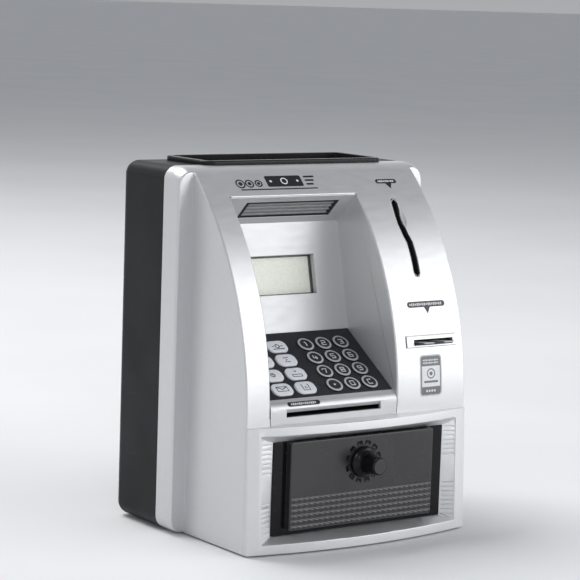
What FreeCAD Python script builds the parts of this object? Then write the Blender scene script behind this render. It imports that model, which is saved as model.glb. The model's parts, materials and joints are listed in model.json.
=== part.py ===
import FreeCAD, Part
import os
from math import asin, atan2, cos, degrees, hypot, radians, sin, sqrt

Vector = FreeCAD.Vector

# Driving dimensions, millimetres. While modelling, X is to the right, Y runs back from the flat
# part of the front, and Z runs up from the underside of the case.
body_half = 86.7            # half width of the curved front
rim_half = 97.5             # half width of the shoulder rim and the back
case_height = 235.0
shoulder_y = 67.0           # front face of the shoulder rim
seam_y = 84.5               # joint between the front and rear shells
rear_y = 137.0
wall = 2.2
straight_height = 84.0      # the front is upright up to here
front_radius = 197.8        # side profile of the curved front
top_radius = 20.0           # side profile from the curved front to the flat top
corner_radius = 9.0
foot_height = 1.2
frame_bulge_y = -14.3       # foremost point of the vault frame
knob_front_y = -24.6

# Alcove: X limits and the (Y, Z) corners of its visible surfaces.
alcove_left = -68.7
alcove_right = 30.6
shelf_bottom = 79.7
lip_radius = 5.5
deck_front = (5.3, 94.8)
deck_rear = (55.8, 127.5)
back_top = (72.0, 197.5)
brow = (51.2, 216.8)
alcove_wall = 2.2
opening_chamfer = 0.8
shelf_seam = 0.35           # gap each side of the shelf where it shows in the front
brow_chamfer_y = 51.83      # front face of the chamfer along the alcove's upper edge

# Keypad, measured along the deck from its front edge.
plate_thick = 1.6
key_columns = (-11.3, 2.7, 16.75)
function_columns = (-52.0, -34.0)
key_rows = (47.1, 34.1, 21.1, 8.1)
key_radius = 5.8
key_gap = 0.3
key_rise = 0.9
function_key_size = (15.0, 10.5)
function_key_radius = 4.2
deck_sheet = 3.8            # depth of the deck frame's underside below the plate's face

# Vault door and its surround.
frame_half = 86.5
frame_height = 79.5
frame_radius = 368.0        # plan radius of the bulged front
frame_lean = 0.0403         # backward lean of the front, mm per mm of height
door_gap = 0.3
opening_half = 67.4
opening_low = 9.5
opening_high = 69.6
opening_y = -1.7
bevel_half = 77.3
bevel_low = 6.0
bevel_high = 74.0
groove_tops = (68.0, 31.0)
groove_pitch = 3.0
groove_width = 0.7
groove_depth = 0.6
block_half = 56.4
block_low = 13.0
block_y = -6.6
hinge_x = -65.5
hinge_y = -0.2
hinge_barrel = 1.55
pin_radius = 1.0
knob_z = 52.3
knob_shaft = 3.0
crank_throw = 4.0
crank_start = -45.0         # crank pin's angle from upright at rest, degrees
running_gap = 0.05

# Coin, card and banknote paths.
coin_path = ((58.0, 211.0), (56.6, 203.0), (56.3, 197.5), (57.1, 191.5), (58.5, 186.5), (58.3, 177.0),
             (57.5, 167.5))
coin_slot_radius = 2.5
scoop_centre = (58.6, 201.5)
scoop_size = (5.4, 13.0, 6.0)
scoop_depth = 1.3
card_slot = (45.3, 77.3, 122.5, 126.0)
bill_slot = (-56.3, 17.3, 84.0, 86.6)
roller_y = 27.0
roller_radius = 4.8
bill_plane = 85.3
module = 1.0
gear_teeth = 16
pinion_teeth = 8
chute_left = 53.2
chute_right = 63.4

# Tray in the top.
tray_half = 69.2
tray_front = 78.8
tray_rear = 126.2
tray_floor = 217.0
tray_rim = 238.0

# Back of the case.
screw_x = 88.0
screw_heights = (14.0, 118.0, 221.0)
battery_heights = (30.0, 46.0, 62.0)
battery_y = 125.0
cover_half = 36.0
cover_low = 16.0
cover_high = 82.0
cover_thick = 1.6
speaker_z = 178.0

x_axis = Vector(1, 0, 0)
y_axis = Vector(0, 1, 0)
z_axis = Vector(0, 0, 1)
far = 300.0


def box(x0, x1, y0, y1, z0, z1):
    return Part.makeBox(x1 - x0, y1 - y0, z1 - z0, Vector(x0, y0, z0))


def rounded_box(x0, x1, y0, y1, z0, z1, radius, axis=z_axis):
    solid = box(x0, x1, y0, y1, z0, z1)
    edges = [edge for edge in solid.Edges if runs_along(edge, axis)]
    return solid.makeFillet(radius, edges)


def runs_along(edge, axis):
    run = edge.Vertexes[-1].Point - edge.Vertexes[0].Point
    return abs(run.dot(axis)) > 0.999 * run.Length


def rod(radius, start, end):
    run = end - start
    return Part.makeCylinder(radius, run.Length, start, run)


def along_x(radius, x0, x1, y, z):
    return rod(radius, Vector(x0, y, z), Vector(x1, y, z))


def along_y(radius, y0, y1, x, z):
    return rod(radius, Vector(x, y0, z), Vector(x, y1, z))


def along_z(radius, z0, z1, x=0.0, y=0.0):
    return rod(radius, Vector(x, y, z0), Vector(x, y, z1))


def prism(points, x0, x1):
    """A (Y, Z) polygon pulled along X."""
    corners = [Vector(x0, y, z) for y, z in points]
    face = Part.Face(Part.makePolygon(corners + corners[:1]))
    return face.extrude(Vector(x1 - x0, 0, 0))


def flat_face(corners):
    return Part.Face(Part.makePolygon(corners + corners[:1]))


def fuse(shapes):
    first, *rest = shapes
    return first.multiFuse(rest).removeSplitter() if rest else first


def spun(points, origin, axis):
    """A (radius, distance) outline turned about an axis through origin."""
    side = Vector(1, 0, 0) if abs(axis.x) < 0.5 else Vector(0, 0, 1)
    corners = [origin + side * radius + axis * distance for radius, distance in points]
    face = Part.Face(Part.makePolygon(corners + corners[:1]))
    return face.revolve(origin, axis, 360)


def tilted(shape, start, end):
    """Moves a shape built at the origin, with Y up a slope and Z out of it, onto the slope."""
    angle = degrees(atan2(end[1] - start[1], end[0] - start[0]))
    placed = shape.copy()
    placed.rotate(Vector(0, 0, 0), x_axis, angle)
    placed.translate(Vector(0, start[0], start[1]))
    return placed


def on_deck(shape):
    return tilted(shape, deck_front, deck_rear)


def on_back_wall(shape):
    return tilted(shape, deck_rear, back_top)


def on_ceiling(shape):
    return tilted(shape, back_top, brow)


def write(name, shape):
    """Saves a sub-part with the origin under the middle of the whole object, at floor level."""
    placed = shape.copy()
    placed.translate(Vector(0, -(knob_front_y + rear_y) / 2, foot_height))
    if not placed.isValid():
        print("invalid shape", name)
    print(f"{name:18s} {len(placed.Solids)} solids {placed.Volume / 1000:8.2f} cm3")
    placed.exportStep(f"parts/{name}.step")


# Case shells


def top_arc_centre():
    """The centre of the small arc that runs from the curved front into the flat top."""
    z = case_height - top_radius
    y = front_radius - sqrt((front_radius - top_radius) ** 2 - (z - straight_height) ** 2)
    return y, z


def side_face(inset, rear):
    """The case seen from the side, shrunk by inset, as a face at X = 0."""
    arc_y, arc_z = top_arc_centre()
    lean = atan2(arc_z - straight_height, arc_y - front_radius)
    big = front_radius - inset
    small = top_radius - inset

    def on_big(angle):
        return Vector(0, front_radius + big * cos(angle), straight_height + big * sin(angle))

    def on_small(angle):
        return Vector(0, arc_y + small * cos(angle), arc_z + small * sin(angle))

    flat = radians(180)
    upright = radians(90)
    base = Vector(0, inset, inset)
    top_rear = Vector(0, rear, case_height - inset)
    bottom_rear = Vector(0, rear, inset)
    edges = [
        Part.LineSegment(base, on_big(flat)).toShape(),
        Part.Arc(on_big(flat), on_big((flat + lean) / 2), on_big(lean)).toShape(),
        Part.Arc(on_small(lean), on_small((lean + upright) / 2), on_small(upright)).toShape(),
        Part.LineSegment(on_small(upright), top_rear).toShape(),
        Part.LineSegment(top_rear, bottom_rear).toShape(),
        Part.LineSegment(bottom_rear, base).toShape(),
    ]
    return Part.Face(Part.Wire(edges))


def case_slice(inset, half, rear):
    face = side_face(inset, rear)
    face.translate(Vector(-half, 0, 0))
    return face.extrude(Vector(2 * half, 0, 0))


def front_depth(z, inset=0.0):
    if z <= straight_height:
        return inset
    return front_radius - sqrt((front_radius - inset) ** 2 - (z - straight_height) ** 2)


def nose(inset):
    """The part of the case in front of the shoulder rim."""
    solid = case_slice(inset, body_half - inset, seam_y)
    if inset > 0:
        return solid
    edges = [edge for edge in solid.Edges if is_front_side_edge(edge)]
    rounded = solid.makeFillet(1.2, edges)
    return rounded.common(box(-far, far, -far, shoulder_y + 3, -far, far))


def is_front_side_edge(edge):
    box_limits = edge.BoundBox
    on_side = box_limits.XLength < 0.01
    on_rear = box_limits.YMin > seam_y - 0.01
    on_bottom = box_limits.ZMax < 0.01
    return on_side and not on_rear and not on_bottom


def rim(inset, y0, y1, front_round=0.0):
    """The wide band behind the nose, with rounded corners seen from the front."""
    solid = case_slice(inset, rim_half - inset, y1).common(box(-far, far, y0, y1, -far, far))
    corner_edges = [edge for edge in solid.Edges if is_rim_corner(edge, rim_half - inset, y0, y1)]
    solid = solid.makeFillet(corner_radius - inset, corner_edges)
    if front_round:
        edges = [edge for edge in solid.Edges if edge.BoundBox.YMax < y0 + 0.01]
        solid = solid.makeFillet(front_round, edges)
    return solid


def is_rim_corner(edge, half, y0, y1):
    limits = edge.BoundBox
    on_side = limits.XLength < 0.01 and abs(abs(limits.XMin) - half) < 0.01
    return on_side and limits.YLength > 1.0


def front_skin(outer, inner, x0, x1, z0, z1):
    """A patch of a layer that follows the curved front between two insets."""
    layer = case_slice(outer, far, seam_y).cut(case_slice(inner, far, seam_y + 1))
    return layer.common(box(x0, x1, -far, shoulder_y, z0, z1))


def slot_shape(radius):
    """The curved coin slot seen from the front, as a long bar along Y."""
    pieces = []
    for (x0, z0), (x1, z1) in zip(coin_path, coin_path[1:]):
        run = Vector(x1 - x0, 0, z1 - z0)
        side = Vector(run.z, 0, -run.x) * (radius / run.Length)
        start = Vector(x0, -20, z0)
        end = Vector(x1, -20, z1)
        corners = [start + side, end + side, end - side, start - side]
        face = Part.Face(Part.makePolygon(corners + corners[:1]))
        pieces.append(face.extrude(Vector(0, 100, 0)))
    for x, z in coin_path:
        pieces.append(along_y(radius, -20, 80, x, z))
    return fuse(pieces)


def finger_scoop():
    """A shallow hollow beside the top half of the coin slot, for a fingertip behind the coin."""
    x, z = scoop_centre
    half_width, half_height, thickness = scoop_size
    ball = Part.makeSphere(1.0, Vector(0, 0, 0))
    stretch = FreeCAD.Matrix()
    stretch.scale(Vector(half_width, thickness, half_height))
    egg = ball.transformGeometry(stretch)
    lean = asin((z - straight_height) / front_radius)
    stand_off = thickness - scoop_depth
    egg.rotate(Vector(0, 0, 0), x_axis, -degrees(lean))
    egg.translate(Vector(x, front_depth(z) - stand_off * cos(lean), z + stand_off * sin(lean)))
    return egg


def screw_bosses():
    return [along_y(3.8, shoulder_y + 1, seam_y, side * screw_x, z)
            for side in (-1, 1) for z in screw_heights]


def screw_holes(radius, y0, y1):
    return [along_y(radius, y0, y1, side * screw_x, z) for side in (-1, 1) for z in screw_heights]


def tray_opening():
    return rounded_box(-tray_half, tray_half, tray_front, tray_rear, tray_floor - 20, far, 5.0)


def opening_chamfers():
    """Waste along both arcs of the alcove's opening, as rings about the curved front's axis."""
    axis_point = Vector(0, front_radius, straight_height)
    rings = []
    for x, side in ((alcove_left, -1), (alcove_right, 1)):
        reach = opening_chamfer + 1
        section = [(x - side, 1.0), (x + side * reach, 1.0), (x - side, -reach)]
        corners = [axis_point + Vector(px, -front_radius - out, 0) for px, out in section]
        rings.append(flat_face(corners).revolve(axis_point, x_axis, 360))
    upper = box(-far, far, -far, shoulder_y, straight_height, brow[1] + 0.75)
    return [ring.common(upper) for ring in rings]


def hinge_notch():
    """Room in the front wall for the bosses that hold the door's pins."""
    low = box(-69.5, -61.5, -1, 3, 4.5, opening_low + 0.1)
    high = box(-69.5, -61.5, -1, 3, opening_high - 0.1, 75.5)
    return low.fuse(high)


def make_front_shell():
    outer = fuse([nose(0.0), rim(0.0, shoulder_y, seam_y, 1.6)])
    shell = outer.cut(nose(wall)).cut(rim(wall, shoulder_y + wall, seam_y + 1))
    shell = shell.common(box(-far, far, -far, seam_y, -far, far))
    shell = fuse([shell] + screw_bosses())
    cuts = [
        box(alcove_left, alcove_right, -5, 60, shelf_bottom, brow[1]),
        brow_chamfer(),
        box(-68, 68, -5, 10, 8.5, 71),
        hinge_notch(),
        slot_shape(coin_slot_radius),
        finger_scoop(),
        box(40.6, 78.9, -5, 20, 122.0, 127.6),
        tray_opening(),
    ]
    for cut in cuts + opening_chamfers() + screw_holes(1.5, seam_y - 10, seam_y + 1):
        shell = shell.cut(cut)
    return shell


def back_block(inset, y0, y1):
    solid = rounded_box(inset - rim_half, rim_half - inset, y0, y1, inset, case_height - inset,
                        corner_radius - inset, y_axis)
    edges = [edge for edge in solid.Edges if edge.BoundBox.YMin > y1 - 0.01]
    return solid.makeFillet(corner_radius - inset - 0.5, edges)


def grille_holes():
    holes = []
    pitch = 5.0
    for row in range(-3, 4):
        count = 7 - abs(row)
        for index in range(count):
            x = (index - (count - 1) / 2) * pitch
            z = speaker_z + row * pitch * sin(radians(60))
            holes.append(along_y(1.2, rear_y - 5, rear_y + 1, x, z))
    return holes


def make_rear_shell():
    shell = back_block(0.0, seam_y, rear_y).cut(back_block(wall, seam_y - 1, rear_y - wall))
    # each screw goes in at the bottom of a deep counterbore, down to a floor near the seam
    posts = [along_y(5.0, seam_y, rear_y - 1, side * screw_x, z)
             for side in (-1, 1) for z in screw_heights]
    posts = [post.common(back_block(0.0, seam_y, rear_y)) for post in posts]
    cover_post = along_y(3.5, 126.0, rear_y - cover_thick, 0, cover_high - 4.5)
    shell = fuse([shell] + posts + [cover_post])
    cuts = screw_holes(3.4, seam_y + 12, rear_y + 1) + screw_holes(1.7, seam_y - 1, rear_y)
    cuts += grille_holes()
    cuts += [
        rounded_box(-cover_half, cover_half, rear_y - cover_thick, rear_y + 1, cover_low, cover_high,
                    3.0, y_axis),
        box(-32, 32, 120, rear_y + 1, 21, 71),
        along_y(1.2, 120, rear_y, 0, cover_high - 4.5),
        tray_opening(),
    ]
    for cut in cuts:
        shell = shell.cut(cut)
    return shell


def make_case_screws():
    screws = []
    for side in (-1, 1):
        for z in screw_heights:
            head = along_y(2.8, seam_y + 12, seam_y + 14.2, side * screw_x, z)
            shank = along_y(1.5, seam_y - 8, seam_y + 12, side * screw_x, z)
            socket = box(side * screw_x - 1.8, side * screw_x + 1.8, seam_y + 13, seam_y + 15,
                         z - 0.3, z + 0.3)
            cross = box(side * screw_x - 0.3, side * screw_x + 0.3, seam_y + 13, seam_y + 15,
                        z - 1.8, z + 1.8)
            screws.append(head.fuse(shank).removeSplitter().cut(socket).cut(cross))
    return Part.makeCompound(screws)


def make_rubber_feet():
    places = [(x, y) for x in (-74, 74) for y in (13, 122)]
    discs = [along_z(6.0, -foot_height, 0, x, y) for x, y in places]
    return Part.makeCompound([disc.makeFillet(0.4, [disc.Edges[2]]) for disc in discs])


# Tray in the top


def make_top_tray():
    body = rounded_box(-tray_half, tray_half, tray_front, tray_rear, tray_floor, case_height, 5.0)
    flange = rounded_box(-71.5, 71.5, 76.5, 128.5, case_height, tray_rim, 8.0)
    top_edges = [edge for edge in flange.Edges if edge.BoundBox.ZMin > tray_rim - 0.01]
    flange = flange.makeFillet(1.2, top_edges)
    hollow = rounded_box(-67.4, 67.4, 80.6, 124.4, tray_floor + 1.8, far, 3.4)
    low_edges = [edge for edge in hollow.Edges if edge.BoundBox.ZMax < tray_floor + 2]
    hollow = hollow.makeFillet(2.5, low_edges)
    tray = fuse([body, flange]).cut(hollow)
    return tray


# Alcove with its deck


def lip_centre():
    """The centre of the lip's arc, which touches the shelf front and the deck's slope."""
    slope = atan2(deck_rear[1] - deck_front[1], deck_rear[0] - deck_front[0])
    touch_y = lip_radius * (1 - sin(slope))
    touch_z = deck_front[1] + (touch_y - deck_front[0]) * sin(slope) / cos(slope)
    return (lip_radius, touch_z - lip_radius * cos(slope)), (touch_y, touch_z)


def shift_normal(start, end, distance):
    """A line through two (Y, Z) points moved sideways, to the left of its direction."""
    run = hypot(end[0] - start[0], end[1] - start[1])
    ny = -(end[1] - start[1]) / run * distance
    nz = (end[0] - start[0]) / run * distance
    return (start[0] + ny, start[1] + nz), (end[0] + ny, end[1] + nz)


def crossing(first, second):
    (y1, z1), (y2, z2) = first
    (y3, z3), (y4, z4) = second
    spread = (y1 - y2) * (z3 - z4) - (z1 - z2) * (y3 - y4)
    a = y1 * z2 - z1 * y2
    b = y3 * z4 - z3 * y4
    return (a * (y3 - y4) - (y1 - y2) * b) / spread, (a * (z3 - z4) - (z1 - z2) * b) / spread


def brow_chamfer():
    """The waste along the alcove's upper edge, in both the insert and the front shell."""
    return box(alcove_left, alcove_right, -10, brow_chamfer_y, brow[1] - 3, brow[1] + 0.75)


def make_alcove_insert():
    centre, touch = lip_centre()
    deck_line = shift_normal(deck_front, deck_rear, -deck_sheet)
    back_line = shift_normal(deck_rear, back_top, -alcove_wall)
    roof_line = shift_normal(back_top, brow, -alcove_wall)
    under_rear = crossing(deck_line, back_line)
    roof_corner = crossing(back_line, roof_line)
    front_foot = ((alcove_wall, 0), (alcove_wall, 10))
    outline = [(0, shelf_bottom), (0, 222), roof_line[1], roof_corner, under_rear,
               crossing(deck_line, front_foot), (alcove_wall, shelf_bottom)]
    solid = prism(outline, alcove_left - alcove_wall, alcove_right + alcove_wall)

    ledge = shift_normal(deck_front, deck_rear, -plate_thick)
    corner = crossing((deck_front, deck_rear), ((0, 0), (0, 10)))
    above_brow = (brow[0] - 25, brow[1] + 23.2)
    air = [(-30, corner[1]), corner, deck_front, ledge[0], ledge[1], deck_rear, back_top, brow,
           above_brow, (-30, above_brow[1])]
    lip = along_x(lip_radius, alcove_left, alcove_right, *centre)
    lip_waste = prism([(0, centre[1]), corner, touch, centre], alcove_left, alcove_right).cut(lip)
    solid = solid.cut(prism(air, alcove_left, alcove_right)).cut(lip_waste)

    inside = case_slice(wall, far, seam_y)
    doorway = box(alcove_left + shelf_seam, alcove_right - shelf_seam, -1, 60, shelf_bottom, brow[1])
    doorway = doorway.common(case_slice(0, far, seam_y))
    solid = solid.common(inside.fuse(doorway)).cut(brow_chamfer())

    frame = on_back_wall(box(-49.5, 11.5, 21.5, 53.3, -4.0, -1.0))
    posts = [on_back_wall(along_z(2.0, -11.0, -1.0, x, v)) for x in (-57, 19) for v in (12, 57)]
    lamp_posts = [on_ceiling(along_z(1.8, -7.0, -1.0, x, 14.2)) for x in (-57.5, 24.5)]
    solid = fuse([solid, frame] + posts + lamp_posts)
    cuts = [
        on_deck(box(-64, 26, 1.2, 57, -6, 1)),
        on_back_wall(box(-46.7, 8.7, 24.5, 50.3, -8, 2)),
        on_ceiling(box(-53, 20, 6.2, 22.4, -8, 2)),
        bill_mouth(),
    ]
    for cut in cuts:
        solid = solid.cut(cut)
    return solid


def bill_mouth():
    x0, x1, z0, z1 = bill_slot
    lead_in = z1 + 2.6
    points = [(-1, z0), (-1, lead_in), (0, lead_in), (alcove_wall, z1), (6, z1), (6, z0)]
    return prism(points, x0, x1)


def make_lcd_window():
    return on_back_wall(box(-48.7, 10.7, 22.5, 52.3, -5.0, -4.0))


def make_lcd_module():
    carrier = box(-49.5, 11.5, 21.5, 53.3, -8.0, -5.0)
    pocket = box(-47.2, 9.2, 24.0, 50.8, -6.5, -5.0)
    glass = box(-47.2, 9.2, 24.0, 50.8, -6.5, -5.4)
    return on_back_wall(fuse([carrier.cut(pocket), glass]))


def make_control_board():
    board = box(-61, 23, 8, 61, -12.6, -11.0)
    chips = [box(-30, -18, 20, 32, -14.6, -12.6), box(-4, 4, 36, 48, -14.6, -12.6)]
    parts = chips + [along_z(3.0, -20.0, -12.6, 14, 24)]
    return on_back_wall(fuse([board] + parts))


def make_lamp_lens():
    """A clear plate with lengthwise ribs, set back in the ceiling."""
    plate = box(-52.8, 19.8, 6.4, 22.2, -2.2, -1.0)
    flange = box(-54.5, 21.5, 4.7, 23.9, -3.4, -2.2)
    ribs = [along_x(0.9, -52.8, 19.8, 9.0 + 3.5 * index, -1.0) for index in range(4)]
    return on_ceiling(fuse([plate, flange] + ribs))


def make_lamp_board():
    board = box(-60, 27, 8, 20.5, -8.6, -7.0)
    lamps = [along_z(1.6, -7.0, -4.0, x, 14.2) for x in (-34, 1)]
    return on_ceiling(fuse([board] + lamps))


# Keypad


def round_blank(radius, low, high, x, s):
    return along_z(radius, low, high, x, s)


def oblong_blank(size, radius, low, high, x, s):
    half_x = size[0] / 2
    half_s = size[1] / 2
    return rounded_box(x - half_x, x + half_x, s - half_s, s + half_s, low, high, radius)


def grown(size, amount):
    return size[0] + amount, size[1] + amount


def make_keypad_plate():
    length = hypot(deck_rear[0] - deck_front[0], deck_rear[1] - deck_front[1])
    plate = box(alcove_left + 0.1, alcove_right - 0.1, 0.1, length - 0.1, -plate_thick, 0)
    holes = [round_blank(key_radius + key_gap, -5, 5, x, s) for x in key_columns for s in key_rows]
    size = grown(function_key_size, 2 * key_gap)
    holes += [oblong_blank(size, function_key_radius + key_gap, -5, 5, x, s)
              for x in function_columns for s in key_rows]
    for hole in holes:
        plate = plate.cut(hole)
    return on_deck(plate)


def rounded_top(solid, top, radius):
    edges = [edge for edge in solid.Edges if edge.BoundBox.ZMin > top - 0.01]
    return solid.makeFillet(radius, edges)


def make_round_key(x, s):
    cap = rounded_top(round_blank(key_radius, -plate_thick, key_rise, x, s), key_rise, 0.5)
    flange = round_blank(key_radius + 0.6, -plate_thick - 0.8, -plate_thick, x, s)
    stem = round_blank(3.5, -plate_thick - 1.3, -plate_thick - 0.8, x, s)
    return on_deck(fuse([cap, flange, stem]))


def make_function_key(x, s):
    cap = oblong_blank(function_key_size, function_key_radius, -plate_thick, key_rise, x, s)
    cap = rounded_top(cap, key_rise, 0.5)
    flange = oblong_blank(grown(function_key_size, 1.2), function_key_radius + 0.6,
                          -plate_thick - 0.8, -plate_thick, x, s)
    stem = round_blank(3.5, -plate_thick - 1.3, -plate_thick - 0.8, x, s)
    return on_deck(fuse([cap, flange, stem]))


def make_key_membrane():
    return on_deck(box(-66, 28, -1, 58, -deck_sheet - 1.0, -deck_sheet))


def make_keypad_board():
    board = box(-66, 28, 1, 58, -deck_sheet - 2.6, -deck_sheet - 1.0)
    plug = box(-20, -8, 50, 56, -deck_sheet - 6.6, -deck_sheet - 2.6)
    return on_deck(fuse([board, plug]))


def write_keys():
    names = ("1", "2", "3", "4", "5", "6", "7", "8", "9", "dot", "0", "clear")
    places = [(x, s) for s in key_rows for x in key_columns]
    for name, (x, s) in zip(names, places):
        write(f"key_{name}", make_round_key(x, s))
    places = [(x, s) for s in key_rows for x in function_columns]
    for number, (x, s) in enumerate(places, 1):
        write(f"function_key_{number}", make_function_key(x, s))


# Vault front


def frame_front(x, z):
    sag = frame_radius - sqrt(frame_radius ** 2 - x * x)
    return frame_bulge_y + frame_lean * z + sag


def frame_block():
    """The bulged block: a leaning cylinder's front, flat sides, top and underside."""
    axis = Vector(0, frame_lean, 1)
    foot = Vector(0, frame_bulge_y + frame_radius, 0) - axis * frame_height
    drum = Part.makeCylinder(frame_radius, 3 * frame_height, foot, axis)
    return drum.common(box(-frame_half, frame_half, -40, 0, 0, frame_height))


def bevel_section(x):
    """The recess at one X, as a (Y, Z) loop that reaches out past the frame's front."""
    points = [(opening_y, opening_low), (opening_y, opening_high), (frame_front(x, bevel_high), bevel_high),
              (-60, bevel_high), (-60, bevel_low), (frame_front(x, bevel_low), bevel_low)]
    corners = [Vector(x, y, z) for y, z in points]
    return Part.makePolygon(corners + corners[:1])


def side_recess(side):
    """The recess beside the opening, where the side bevel closes it."""
    x0 = side * opening_half
    x1 = side * bevel_half
    inner_low = Vector(x0, opening_y, opening_low)
    inner_high = Vector(x0, opening_y, opening_high)
    root_low = Vector(x0, frame_front(x0, bevel_low), bevel_low)
    root_high = Vector(x0, frame_front(x0, bevel_high), bevel_high)
    outer_low = Vector(x1, frame_front(x1, bevel_low), bevel_low)
    outer_high = Vector(x1, frame_front(x1, bevel_high), bevel_high)
    near_low, near_high = Vector(x0, -60, bevel_low), Vector(x0, -60, bevel_high)
    side_low, side_high = Vector(x1, -60, bevel_low), Vector(x1, -60, bevel_high)
    bevel = Part.makeRuledSurface(Part.makeLine(inner_low, inner_high), Part.makeLine(outer_low, outer_high))
    faces = [bevel] + [flat_face(corners) for corners in (
        [inner_high, outer_high, root_high],
        [inner_low, outer_low, root_low],
        [root_high, outer_high, side_high, near_high],
        [root_low, outer_low, side_low, near_low],
        [inner_low, inner_high, root_high, near_high, near_low, root_low],
        [outer_low, outer_high, side_high, side_low],
        [near_low, near_high, side_high, side_low],
    )]
    shell = Part.makeShell(faces)
    shell.sewShape()
    solid = Part.makeSolid(shell)
    return solid if solid.Volume > 0 else solid.reversed()


def bevel_grooves(side):
    """Two groups of fine grooves across a side bevel."""
    heights = [groove_tops[0] - groove_pitch * index for index in range(7)]
    heights += [groove_tops[1] - groove_pitch * index for index in range(8)]
    grooves = []
    for z in heights:
        run = bevel_half - opening_half
        fall = frame_front(bevel_half, z) - opening_y
        start, end = 0.12, 0.9
        inner = Vector(side * (opening_half + start * run), opening_y + start * fall, z - groove_width / 2)
        outer = Vector(side * (opening_half + end * run), opening_y + end * fall, z - groove_width / 2)
        forward = Vector(0, -4, 0)
        back = Vector(0, groove_depth, 0)
        face = flat_face([inner + forward, outer + forward, outer + back, inner + back])
        grooves.append(face.extrude(Vector(0, 0, groove_width)))
    return grooves


def frame_recess():
    """The space in front of the door: four bevels that narrow to the door's opening."""
    count = 8
    stations = [opening_half * (2 * index / count - 1) for index in range(count + 1)]
    middle = Part.makeLoft([bevel_section(x) for x in stations], True, True)
    return fuse([middle, side_recess(-1), side_recess(1)])


def make_vault_frame():
    shell = frame_block().cut(frame_recess())
    doorway = box(-opening_half, opening_half, -5, 5, opening_low, opening_high)
    # the thick middle is hollowed out from the back, below and above the recess
    under = box(-45, 45, -8.5, 1, wall, bevel_low - 1.2)
    over = box(-45, 45, -6.5, 1, bevel_high + 1.2, frame_height - wall)
    for cut in [doorway, under, over] + bevel_grooves(-1) + bevel_grooves(1):
        shell = shell.cut(cut)
    bosses = [box(-69.3, -62.0, opening_y, 1.8, 5.0, opening_low),
              box(-69.3, -62.0, opening_y, 1.8, opening_high, 75.0)]
    shell = fuse([shell] + bosses)
    return shell.cut(along_z(pin_radius + running_gap, 6.4, 72.7, hinge_x, hinge_y))


def make_vault_door():
    low = opening_low + door_gap
    high = opening_high - door_gap
    panel = box(hinge_x, opening_half - door_gap, opening_y, 0.5, low, high)
    barrel = along_z(hinge_barrel, low, high, hinge_x, hinge_y)
    block = rounded_box(-block_half, block_half, block_y, opening_y, block_low, high, 1.5, y_axis)
    front_edges = [edge for edge in block.Edges if edge.BoundBox.YMax < block_y + 0.01]
    block = block.makeFillet(0.8, front_edges)
    hollow = box(2 - block_half, block_half - 2, block_y + wall, 1, block_low + 2, high - 2)
    boss = along_y(6.0, block_y + 1, 0.3, 0, knob_z)
    guides = [box(x, x + 5, -1.0, 6.6, 47.6, 57.4) for x in (22, 58)]
    web = box(20, 30, block_y + 1, -0.5, 46.6, 58.4)
    door = fuse([fuse([panel, barrel, block]).cut(hollow), boss, web] + guides)
    cuts = [
        along_y(knob_shaft + running_gap, -20, 5, 0, knob_z),
        box(10, 70, 2.5, 5.1, 49.5, 55.5),
        along_z(pin_radius, low - 1, low + 4, hinge_x, hinge_y),
        along_z(pin_radius, high - 4, high + 1, hinge_x, hinge_y),
    ]
    for cut in cuts:
        door = door.cut(cut)
    return door


def make_hinge_pins():
    low = opening_low + door_gap
    high = opening_high - door_gap
    lower = along_z(pin_radius, 6.6, low + 4, hinge_x, hinge_y)
    upper = along_z(pin_radius, high - 4, 72.5, hinge_x, hinge_y)
    return Part.makeCompound([lower, upper])


def make_dial_knob():
    """A skirted knob on its shaft, turned about Y."""
    base = -0.3
    length = block_y - knob_front_y
    grip = 5.8
    outline = [(0, base), (10.0, base), (10.3, base - 1.0), (10.0, base - 2.2), (9.0, base - 3.0),
               (7.6, base - 3.8), (6.7, base - 5.0), (6.2, base - 7.0), (grip, 1.4 - length),
               (grip - 0.3, 0.5 - length), (grip - 0.9, -length), (0, -length)]
    head = spun(outline, Vector(0, block_y, knob_z), y_axis)
    shaft = along_y(knob_shaft, block_y - 1.0, 2.4, 0, knob_z)
    return fuse([head, shaft])


def make_latch_crank():
    disc = along_y(6.5, 0.8, 2.4, 0, knob_z).cut(along_y(knob_shaft, 0, 3, 0, knob_z))
    x = crank_throw * sin(radians(crank_start))
    z = knob_z + crank_throw * cos(radians(crank_start))
    return fuse([disc, along_y(1.2, 2.4, 5.2, x, z)])


def make_latch_bolt():
    pin_x = crank_throw * sin(radians(crank_start))
    plate = box(pin_x - 6, pin_x + 6, 2.8, 4.8, 49.8, 61.0)
    bar = box(pin_x, 66.3, 2.8, 4.8, 49.8, 55.2)
    slot = box(pin_x - 1.6, pin_x + 1.6, 2, 6, 53.4, 58.6)
    return fuse([plate, bar]).cut(slot)


def make_vault_box():
    outer = box(-70, 70, wall, 82, 4.4, 73)
    inner = box(-68, 68, 0, 80, 6.4, 71)
    mouth = box(-60, 66, 22, 80, 60, 80)
    latch_room = box(60, 72, 0, 6.8, 47.4, 57.6)
    return outer.cut(inner).cut(mouth).cut(latch_room)


# Coin path


def make_coin_slot_liner():
    depth = 3.6
    layer = front_skin(0.25, depth, 40, 80, 150, 216)
    lining = layer.common(slot_shape(coin_slot_radius)).cut(slot_shape(coin_slot_radius - 0.8))
    return lining.cut(finger_scoop())


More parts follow.
